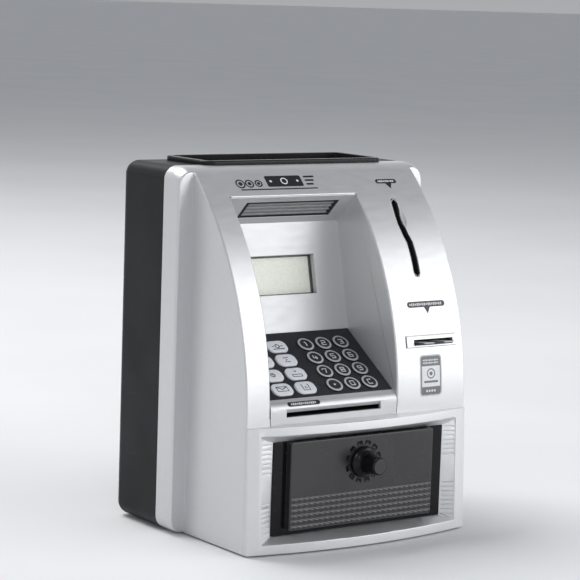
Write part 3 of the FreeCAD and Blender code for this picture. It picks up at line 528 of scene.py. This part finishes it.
casePieces = {  # node: piece, body, slot and edge radius in metres
    "front_shell": ("frontShell", "case", "silver_paint", 0.0003),
    "alcove_insert": ("alcove", "case", "alcove_silver", 0.0002),
    "vault_frame": ("doorFrame", "case", "silver_paint", 0.0004),
    "vault_door": ("vaultDoor", "door", "door_dark", 0.00025),
    "card_bezel": ("cardBezel", "case", "silver_paint", 0.0002),
    "battery_cover": ("batteryCover", "cover", "black_shell", 0.0002),
    "rear_shell": ("rearShell", "case", "black_shell", 0.0003),
    "top_tray": ("tray", "case", "tray_black", 0.0004),
    "keypad_plate": ("keyPlate", "case", "keypad_black", 0.00015),
    "dial_knob": ("knob", "knob", "knob_black", 0.0002),
}
soft = {}
for node, (piece, body, slot, width) in casePieces.items():
    soft[node] = softened(piece, node, body, slot, width)
doorBlock = {"half": 0.0565, "low": 0.0141}  # the door's raised block, in metres
blockEdges = [((x, 0, 0), (1, 0, 0)) for x in (-doorBlock["half"], doorBlock["half"])]
blockEdges.append(((0, 0, doorBlock["low"]), (0, 0, 1)))
repaint(soft["vault_door"], finishes["knob_black"],
        lambda middle, normal: abs(middle.x) > doorBlock["half"] or middle.z < doorBlock["low"], blockEdges)
knobFront = -0.08  # metres: only the cap's front face lies before this
# painted reflection: the knob's flat front face takes the door's lighter finish because it faces the light
# the same way as the door's face
repaint(soft["dial_knob"], finishes["door_dark"],
        lambda middle, normal: normal.y < -0.99 and middle.y < knobFront)
print("shells softened")


# ---- keypad

keypad = {
    "columns": (-11.3, 2.7, 16.75),
    "functionColumns": (-52.0, -34.0),
    "rows": (47.1, 34.1, 21.1, 8.1),
    "names": ("1", "2", "3", "4", "5", "6", "7", "8", "9", "dot", "0", "clear"),
    "radius": 5.8,
    "ringInner": 4.3,
    "rise": 0.9,
    "base": -2.9,
    "flange": (-2.4, -1.6, 0.6),  # its foot, its top and how far it stands out of the cap
    "stem": 3.5,
    "digit": 1.45,      # half width of a digit
    "line": 0.85,
    "lineRise": 0.1,
    "size": (15.0, 10.5),
    "corner": 4.2,
    "edge": 0.45,
    "signLine": 0.75,
    "signRise": 0.06,
}
square = ((-1, -1.3), (1, -1.3), (1, 1.3), (-1, 1.3), (-1, -1.3))
digits = {  # lines on a grid one unit to each side
    "0": [square],
    "1": [((-0.5, 1.3), (0.1, 1.3), (0.1, -1.3))],
    "2": [((-1, 1.3), (1, 1.3), (1, 0), (-1, 0), (-1, -1.3), (1, -1.3))],
    "3": [((-1, 1.3), (1, 1.3), (1, -1.3), (-1, -1.3)), ((-0.4, 0), (1, 0))],
    "4": [((-0.8, 1.3), (-1, -0.3), (1, -0.3)), ((0.4, 0.7), (0.4, -1.3))],
    "5": [((1, 1.3), (-1, 1.3), (-1, 0), (1, 0), (1, -1.3), (-1, -1.3))],
    "6": [((1, 1.3), (-1, 1.3), (-1, -1.3), (1, -1.3), (1, 0), (-1, 0))],
    "7": [((-1, 0.7), (-1, 1.3), (1, 1.3), (0.1, -1.3))],
    "8": [square, ((-1, 0), (1, 0))],
    "9": [((1, 0), (-1, 0), (-1, 1.3), (1, 1.3), (1, -1.3), (-1, -1.3))],
    "clear": [((1, 1.3), (-1, 1.3), (-1, -1.3), (1, -1.3))],
}


def makeRoundKey(name, x, up):
    # a cap with a soft rim, a silver band round its edge and a printed digit
    r, rise = keypad["radius"], keypad["rise"]
    inner = keypad["ringInner"]
    stem, base = keypad["stem"], keypad["base"]
    foot, top, ledge = keypad["flange"]
    outline = [(0, base), (stem, base), (stem, foot), (r + ledge, foot), (r + ledge, top), (r, top),
               (r, rise - 0.5), (r - 0.15, rise - 0.15), (r - 0.5, rise), (inner, rise),
               (inner - 0.12, rise - 0.12), (inner - 0.24, rise), (0, rise)]
    band = [(inner, rise - 0.1), (r - 0.12, rise - 0.4), (r - 0.1, rise - 0.13), (r - 0.46, rise + 0.04),
            (inner, rise + 0.04)]
    parts = [(spun(outline, 40), 0), (spun(band, 40), 1)]
    if name == "dot":
        parts.append((disc(0.75, rise - 0.02, rise + 0.08, 20), 2))
    else:
        size = keypad["digit"]
        paths = [[(px * size, py * size) for px, py in path] for path in digits[name]]
        parts.append((moved(strokes(paths, keypad["line"], keypad["lineRise"]), z=rise), 2))
    whole = moved(gathered(parts), x, up)
    node = "key_" + name
    finishPiece("keyCap_" + name, whole, onSlope("deck"), node,
                [finishes["key_black"], ringInk, whiteInk], [node])


places = [(x, up) for up in keypad["rows"] for x in keypad["columns"]]
for name, (x, up) in zip(keypad["names"], places):
    makeRoundKey(name, x, up)

coin = [(1.5 * cos(radians(step)), 1.5 * sin(radians(step))) for step in range(0, 361, 30)]
icons = {  # signs in place of words, in millimetres about the key's middle
    1: [[(-3, 1.5), (3, 1.5)], [(-3, 0), (1.5, 0)], [(-3, -1.5), (3, -1.5)]],
    2: [coin, [(-4.4, -2.6), (4.4, -2.6)], [(-4, 0), (-2.6, 0)], [(2.6, 0), (4, 0)]],
    3: [[(-3, 0), (0, 0)], [(-1.5, 1.5), (-1.5, -1.5)], [(1.2, 0.8), (3.8, 0.8)],
        [(1.2, -0.8), (3.8, -0.8)]],
    4: [[(2, 2), (-2, 2), (0.4, 0), (-2, -2), (2, -2)]],
    5: [coin, [(0, 0.9), (0, 0), (0.7, 0)]],
    6: [[(-0.9, 2.4), (0, 1.5), (0.9, 2.4)], [(-3.6, -1), (3.6, -1), (3.6, -3), (-3.6, -3), (-3.6, -1)]],
    7: [[(-4, -2), (4, -2), (4, 2), (-4, 2), (-4, -2)], [(-4, 2), (0, -0.4), (4, 2)]],
    8: [[(-2.4, 2.6), (-2.4, -2.6), (2.4, -2.6), (2.4, 2.6)], [(-1, -1), (1, -1), (0, 0.8), (-1, -1)]],
}


def makeFunctionKey(number, x, up):
    width, height = keypad["size"]
    rise, corner = keypad["rise"], keypad["corner"]
    foot, top, ledge = keypad["flange"]
    halfWidth, halfHeight = width / 2, height / 2
    cap = block((-halfWidth, -halfHeight, top), (halfWidth, halfHeight, rise), corner, keypad["edge"], 8)
    flange = block((-halfWidth - ledge, -halfHeight - ledge, foot),
                   (halfWidth + ledge, halfHeight + ledge, top), corner + ledge, 0, 6)
    stem = disc(keypad["stem"], keypad["base"], foot)
    sign = moved(strokes(icons[number], keypad["signLine"], keypad["signRise"]), z=rise)
    whole = moved(gathered([(cap, 0), (flange, 0), (stem, 0), (sign, 1)]), x, up)
    node = "function_key_%d" % number
    finishPiece("functionCap_%d" % number, whole, onSlope("deck"), node,
                [finishes["key_grey"], iconInk], [node])


places = [(x, up) for up in keypad["rows"] for x in keypad["functionColumns"]]
for number, (x, up) in enumerate(places, 1):
    makeFunctionKey(number, x, up)
print("keys made")


# ---- display

display = {"left": -46.4, "right": 8.4, "low": 24.8, "high": 50.0, "depth": -5.3,
           "border": 1.0, "bar": 0.7}


def makeDisplay():
    left, right, low, high = (display[k] for k in ("left", "right", "low", "high"))
    depth, border, bar = display["depth"], display["border"], display["bar"]
    film = block((left, low, depth - 0.08), (right, high, depth))
    edges = [((right - border, low), (right, high)), ((left, high - bar), (right, high)),
             ((left, low), (right, low + bar)), ((left, low), (left + border, high))]
    lines = [block((*start, depth - 0.02), (*end, depth + 0.04)) for start, end in edges]
    whole = gathered([(film, 0)] + [(line, 1) for line in lines])
    glow = printInk("displayGreen", (0.97, 0.98, 0.87), 0.3)
    finishPiece("displayFilm", whole, onSlope("backWall"), "case", [glow, blackInk])


makeDisplay()
print("display made")


# ---- painted shade rim in the lamp opening, and wall pips

# a black frame over the walls of the lamp opening, as painted shade
lensShadeRim = {"low": (-52.7, 6.5), "high": (19.7, 22.1), "innerLow": (-50.6, 8.4), "innerHigh": (16.8, 20.8),
           "back": -0.98, "front": -0.04, "edge": 0.2}
wallNubs = {"wallX": 30.6, "places": ((21.4, 106.0), (62.4, 206.5))}


def makeLensShadeRim():
    # dark frame inside the ceiling opening: painted shade over the opening's walls
    low, high = lensShadeRim["low"], lensShadeRim["high"]
    innerLow, innerHigh = lensShadeRim["innerLow"], lensShadeRim["innerHigh"]
    bars = [(low, (innerLow[0], high[1])), ((innerHigh[0], low[1]), high), (low, (high[0], innerLow[1])),
            ((low[0], innerHigh[1]), high)]
    back, front, edge = lensShadeRim["back"], lensShadeRim["front"], lensShadeRim["edge"]
    parts = [(block((*start, back), (*end, front), 0, edge), 0) for start, end in bars]
    finishPiece("lensShadeRim", gathered(parts), onSlope("ceiling"), "case",
                [finishes["inner_black"]])


def makeWallNubs():
    # two small moulded pips on the alcove's right wall
    parts = []
    for y, z in wallNubs["places"]:
        pip = spun([(0, -0.3), (0.9, -0.3), (0.9, 0.25), (0.6, 0.5), (0, 0.5)], 24)
        pip.transform(Matrix.Translation((wallNubs["wallX"], y, z)) @ Matrix.Rotation(-pi / 2, 4, "Y"))
        parts.append((pip, 0))
    finishPiece("wallNubs", gathered(parts), fromCase, "case",
                [finishes["alcove_silver"]])


makeLensShadeRim()
makeWallNubs()
print("alcove dressed")


# ---- printed marks on the front

marks = {"film": 0.05, "step": 2.0, "lipStep": 0.4}
coinPath = ((58.0, 211.0), (56.6, 203.0), (56.3, 197.5), (57.1, 191.5), (58.5, 186.5), (58.3, 177.0),
            (57.5, 167.5))


def dashes(x0, x1, height, y, pitch=1.5):
    # short bars in place of small lettering
    parts = []
    count = int((x1 - x0) / pitch)
    for index in range(count):
        start = x0 + (index + 0.2) * pitch
        tall = height * (1 if index % 3 else 0.7)
        parts.append(block((start, y - tall / 2, 0), (start + pitch * 0.6, y + tall / 2, marks["film"] * 2)))
    return parts


def arrowDown(x, top, width, height):
    bm = bmesh.new()
    bmesh.ops.create_cone(bm, cap_ends=True, segments=3, radius1=1, radius2=1, depth=marks["film"],
                          matrix=Matrix.Translation((0, 0, marks["film"] / 2)) @ Matrix.Rotation(pi, 4, "Z"))
    low = min(v.co.y for v in bm.verts)
    high = max(v.co.y for v in bm.verts)
    wide = max(v.co.x for v in bm.verts)
    for vert in bm.verts:
        vert.co.x = x + vert.co.x / wide * width / 2
        vert.co.y = top - (high - vert.co.y) / (high - low) * height
    return bm


def pill(x0, x1, y, height):
    return block((x0, y - height / 2, 0), (x1, y + height / 2, marks["film"]), height * 0.49, 0, 6)


labels = {
    "coinLabel": {"ends": (50.7, 67.9), "height": 224.0, "tall": 3.6, "arrowX": 60.6, "arrowTall": 4.6},
    "cardLabel": {"ends": (44.0, 75.0), "height": 148.0, "tall": 3.9, "arrowX": 60.0, "arrowTall": 4.4},
}


def makeLabel(name, label):
    y = riseTo("front", label["height"])
    (x0, x1), tall = label["ends"], label["tall"]
    parts = [(pill(x0, x1, y, tall), 0)]
    parts += [(part, 1) for part in dashes(x0 + 1.6, x1 - 1.6, tall * 0.45, y)]
    parts.append((arrowDown(label["arrowX"], y - tall * 0.5, 5.0, label["arrowTall"]), 0))
    whole = sliced(gathered(parts), marks["step"])
    wrap(whole, "front")
    finishPiece(name, whole, fromCase, "case", [blackInk, whiteInk])


for name, label in labels.items():
    makeLabel(name, label)

noteLabel = {"ends": (-55, -30), "dashEnds": (-52.6, -32.2), "height": 92.0, "tall": 3.4, "dashTall": 1.6}


def makeNoteLabel():
    y = riseTo("lip", noteLabel["height"])
    parts = [(pill(*noteLabel["ends"], y, noteLabel["tall"]), 0)]
    parts += [(part, 1) for part in dashes(*noteLabel["dashEnds"], noteLabel["dashTall"], y)]
    whole = sliced(gathered(parts), marks["lipStep"])
    wrap(whole, "lip")
    finishPiece("noteLabel", whole, fromCase, "case", [blackInk, whiteInk])


makeNoteLabel()

emblem = {
    "height": 225.5,
    "coins": ((-56.5, 3.6), (-49.5, 3.25), (-42.5, 2.9)),  # middle and radius
    "coinLine": 0.95,
    "coinY": -1.2,
    "note": ((-36, -4.2), (-8, 4.8)),
    "seal": (-22, 0.3, 1.9, 2.7),   # middle, inner and outer radius
    "dots": (-32.5, -11.5),
    "bars": ((3.0, 3.6), (1.6, 0.5), (0.2, -2.6)),  # right end and height
    "underline": ((-58, -6.6), (2, -5.7)),
}


def makeEmblem():
    # coins rolling towards a banknote: a plain sign for a money box
    middle = riseTo("front", emblem["height"])
    film, coinY = marks["film"], middle + emblem["coinY"]
    parts = []
    for x, size in emblem["coins"]:
        parts.append((moved(ring(size - emblem["coinLine"], size, 0, film, 36), x, coinY), 0))
        parts.append((moved(disc(size * 0.42, 0, film, 24), x, coinY), 0))
    (x0, y0), (x1, y1) = emblem["note"]
    parts.append((block((x0, middle + y0, 0), (x1, middle + y1, film), 1.2), 0))
    sealX, sealY, inner, outer = emblem["seal"]
    parts.append((moved(ring(inner, outer, film, film * 2, 36), sealX, middle + sealY), 1))
    for x in emblem["dots"]:
        parts.append((moved(disc(0.9, film, film * 2, 20), x, middle + sealY), 1))
    for x, y in emblem["bars"]:
        parts.append((block((-5.5, middle + y - 0.7, 0), (x, middle + y + 0.7, film), 0.6), 0))
    (x0, y0), (x1, y1) = emblem["underline"]
    parts.append((block((x0, middle + y0, 0), (x1, middle + y1, film), 0.4), 0))
    whole = sliced(gathered(parts), marks["step"])
    wrap(whole, "front")
    finishPiece("emblem", whole, fromCase, "case", [blackInk, whiteInk])


makeEmblem()


def outlineOf(path, gap):
    # a closed line at a distance from an open path
    points = []
    for run in (path, path[::-1]):
        for index, point in enumerate(run):
            before, after = run[max(index - 1, 0)], run[min(index + 1, len(run) - 1)]
            along = (Vector(after) - Vector(before)).normalized()
            points.append((point[0] + along.y * gap, point[1] - along.x * gap))
        points.append((point[0] + along.x * gap, point[1] + along.y * gap))
    return points + points[:1]


# a white painted highlight line round the coin slot and a grey painted shadow line round the card frame
paintedEdges = {"slotGap": 2.85, "slotHighlight": 0.45, "frameShadow": 0.4, "rise": 0.1,
        "frameX": (39.2, 80.3), "frameZ": (121.0, 128.6)}


def makePaintedEdges():
    # painted highlight along the coin slot's edge, and a painted shadow line around the card slot's frame
    path = [(x, riseTo("front", z)) for x, z in coinPath]
    left, right = paintedEdges["frameX"]
    low, high = (riseTo("front", z) for z in paintedEdges["frameZ"])
    around = [(left, low), (right, low), (right, high), (left, high), (left, low)]
    parts = [(strokes([outlineOf(path, paintedEdges["slotGap"])], paintedEdges["slotHighlight"], paintedEdges["rise"]), 0),
             (strokes([around], paintedEdges["frameShadow"], paintedEdges["rise"]), 1)]
    whole = sliced(gathered(parts), marks["step"])
    wrap(whole, "front")
    finishPiece("paintedEdgeLines", whole, fromCase, "case", [whiteInk, greyInk])


makePaintedEdges()


sticker = {
    "x": (50.3, 66.5),
    "z": (90, 115),
    "rim": 0.9,
    "bandLow": 5.2,
    "bandHigh": 6.4,
    "dashRows": (2.6, 4.4),     # below the upper edge
    "seal": (2.6, 3.4, 1.3),    # radii of the ring's inside and outside and of its dot
    "sealUp": 1.6,
    "bar": (-4.4, -3.0),
    "barInset": 2.4,
    "squares": 4,
    "squareStart": 4.2,
    "squarePitch": 2.1,
    "squareSide": 1.3,
    "squareY": (1.8, 3.2),
}


def makeSticker():
    # rounded label: dark bands at both ends, a plain sign between
    low, high = (riseTo("front", z) for z in sticker["z"])
    left, right = sticker["x"]
    film, rim = marks["film"], sticker["rim"]
    panelLow, panelHigh = low + sticker["bandLow"], high - sticker["bandHigh"]
    parts = [
        (block((left - rim, low - rim, 0), (right + rim, high + rim, film * 0.6), 2.4), 2),
        (block((left, low, 0), (right, high, film), 1.8), 0),
        (block((left + 0.7, panelLow, 0), (right - 0.7, panelHigh, film * 1.6), 0.3), 1),
    ]
    for drop in sticker["dashRows"]:
        parts += [(part, 1) for part in dashes(left + 1.4, right - 1.2, 1.1, high - drop, 1.3)]
    middleX, middleY = (left + right) / 2, (low + high) / 2 - 0.4
    inner, outer, dot = sticker["seal"]
    sealY = middleY + sticker["sealUp"]
    parts.append((moved(ring(inner, outer, 0, film * 2.4, 32), middleX, sealY), 0))
    parts.append((moved(disc(dot, 0, film * 2.4, 24), middleX, sealY), 0))
    inset = sticker["barInset"]
    barLow, barHigh = (middleY + y for y in sticker["bar"])
    parts.append((block((left + inset, barLow, 0), (right - inset, barHigh, film * 2.4), 0.4), 0))
    squareLow, squareHigh = (low + y for y in sticker["squareY"])
    for index in range(sticker["squares"]):
        x = left + sticker["squareStart"] + sticker["squarePitch"] * index
        parts.append((block((x, squareLow, 0), (x + sticker["squareSide"], squareHigh, film * 2)), 1))
    whole = sliced(gathered(parts), marks["step"])
    wrap(whole, "front")
    finishPiece("sticker", whole, fromCase, "case", [greyInk, whiteInk, ringInk])


makeSticker()
print("marks printed")


# ---- vault door

door = {
    "face": -6.6,
    "half": 56.4,
    "ribs": 6,
    "ribLow": 15.6,
    "ribHigh": 33.0,
    "ribEnd": 0.8,      # bare width left at each end of a rib
    "strand": 0.62,     # radius of one strand of a rib
    "strandOffset": 0.45,
    "lay": 8.4,         # length of one turn
    "knobZ": 52.3,
    "tickInner": 10.9,
    "tickOuter": 13.9,
    "tickHalf": 2.05,
    "tickLine": 0.62,
    "tickSink": 0.38,
    "ticks": 12,
}


def makeRopeRibs():
    # two strands wound about each other along X, half sunk in the door, coloured lighter than the door as a
    # painted highlight
    parts = []
    stepsPerTurn = 12
    turns = 2 * (door["half"] - door["ribEnd"]) / door["lay"]
    for index in range(door["ribs"]):
        share = index / (door["ribs"] - 1)
        z = door["ribLow"] + (door["ribHigh"] - door["ribLow"]) * share
        for phase in (0, pi):
            strand = bmesh.new()
            bmesh.ops.create_circle(strand, cap_ends=True, segments=7, radius=door["strand"])
            start = Matrix.Translation((door["ribEnd"] - door["half"], 0, door["strandOffset"]))
            upright = Matrix.Rotation(pi / 2, 4, "Y")
            strand.transform(Matrix.Rotation(phase, 4, "X") @ start @ upright)
            bmesh.ops.spin(strand, geom=strand.faces[:] + strand.edges[:], cent=(0, 0, 0), axis=(1, 0, 0),
                           angle=2 * pi * turns, dvec=(door["lay"] / stepsPerTurn, 0, 0),
                           steps=int(turns * stepsPerTurn))
            bmesh.ops.translate(strand, vec=(0, door["face"] - 0.15, z), verts=strand.verts)
            parts.append((strand, 0))
    whole = gathered(parts)
    bmesh.ops.recalc_face_normals(whole, faces=whole.faces)
    finishPiece("ropeRibs", whole, fromCase, "door", [ribPaintedHighlight], sharp=60)


def makeDialTicks():
    # raised outlines in a ring round the knob
    parts = []
    half = door["tickHalf"]
    for index in range(door["ticks"]):
        tile = block((-half, door["tickInner"], 0), (half, door["tickOuter"], 0.4), 0.7, 0.12)
        top = [f for f in tile.faces if f.normal.z > 0.9 and f.calc_area() > 3]
        bmesh.ops.inset_region(tile, faces=top, thickness=door["tickLine"], depth=0)
        sunk = list({v for f in top for v in f.verts})
        bmesh.ops.translate(tile, vec=(0, 0, -door["tickSink"]), verts=sunk)
        moved(tile, turn=2 * pi * (index + 0.5) / door["ticks"])
        parts.append((moved(tile, y=door["knobZ"]), 0))
    finishPiece("dialTicks", gathered(parts), onFace(door["face"]), "door",
                [finishes["knob_black"]])


makeRopeRibs()
makeDialTicks()
print("door dressed")


# ---- camera, light and floor

view = {"place": (-0.86496, -1.18756, 0.34891), "turn": (82.478, -1.902, -35.280), "lens": 141.1}
lamps = {  # size, power, place, aim and colour of each soft box
    "frontRight": (2.4, 40, (1.75, -1.85, 0.8), (0, 0, 0.1), (1.0, 1.0, 1.0)),
    "edge": (0.5, 3, (-0.9, -1.5, 1.0), (0, 0, 0.12), (1.0, 1.0, 1.0)),
    "above": (1.5, 54, (-0.5, 1.3, 2.3), (0, 0, 0.1), (1.0, 0.995, 0.985)),
}
sky = {
    "horizon": (0.4, 0.41, 0.425),
    "low": (0.95, 0.97, 1.0),
    "high": (0.2, 0.21, 0.225),
    "haze": 0.09,           # height where the horizon's grey has gone
    "fade": (0.02, 0.75),   # heights where the bright part starts and stops dimming
}
ground = {"size": 40, "dark": (0.76, 0.77, 0.785), "pale": (0.8, 0.805, 0.815), "rough": 0.75, "shine": 0.2}


def makeCamera():
    data = bpy.data.cameras.new("camera")
    data.lens = view["lens"]
    data.sensor_width = 36
    data.clip_start = 0.01
    camera = bpy.data.objects.new("camera", data)
    camera.location = view["place"]
    camera.rotation_euler = [radians(angle) for angle in view["turn"]]
    bpy.context.scene.collection.objects.link(camera)
    bpy.context.scene.camera = camera


def makeLamp(name, size, power, place, aim, colour):
    data = bpy.data.lights.new(name, "AREA")
    data.shape = "SQUARE"
    data.size = size
    data.energy = power
    data.color = colour
    lamp = bpy.data.objects.new(name, data)
    lamp.location = place
    lamp.rotation_euler = (Vector(aim) - Vector(place)).to_track_quat("-Z", "Y").to_euler()
    bpy.context.scene.collection.objects.link(lamp)


def makeFloor():
    bm = bmesh.new()
    bmesh.ops.create_grid(bm, x_segments=1, y_segments=1, size=ground["size"])
    mesh = bpy.data.meshes.new("floor")
    bm.to_mesh(mesh)
    bm.free()
    material, tree, shader = startMaterial("paleFloor")
    place = addNode(tree, "TexCoord").outputs["Object"]
    cloud = noiseOf(tree, place, 3, 3)
    tone = mixed(tree, ranged(tree, cloud, 0, 1), ground["dark"], ground["pale"])
    join(tree, tone, shader.inputs["Base Color"])
    shader.inputs["Roughness"].default_value = ground["rough"]
    shader.inputs["Specular IOR Level"].default_value = ground["shine"]
    mesh.materials.append(material)
    floor = bpy.data.objects.new("floor", mesh)
    bpy.context.scene.collection.objects.link(floor)


def makeSky():
    # bright above the horizon, dimmer overhead, and as grey as the far floor at the horizon itself
    world = bpy.data.worlds.new("studio")
    world.use_nodes = True
    tree = world.node_tree
    axes = addNode(tree, "SeparateXYZ")
    join(tree, addNode(tree, "TexCoord").outputs["Object"], axes.inputs["Vector"])
    height = ranged(tree, axes.outputs["Z"], 0, 1, *sky["fade"])
    tone = mixed(tree, height, sky["low"], sky["high"])
    haze = ranged(tree, axes.outputs["Z"], 0, 1, 0.0, sky["haze"])
    tone = mixed(tree, haze, sky["horizon"], tone)
    join(tree, tone, tree.nodes["Background"].inputs["Color"])
    bpy.context.scene.world = world
    bpy.context.scene.view_settings.view_transform = "Standard"


makeCamera()
for name, settings in lamps.items():
    makeLamp(name, *settings)
makeFloor()
makeSky()
print("studio set")
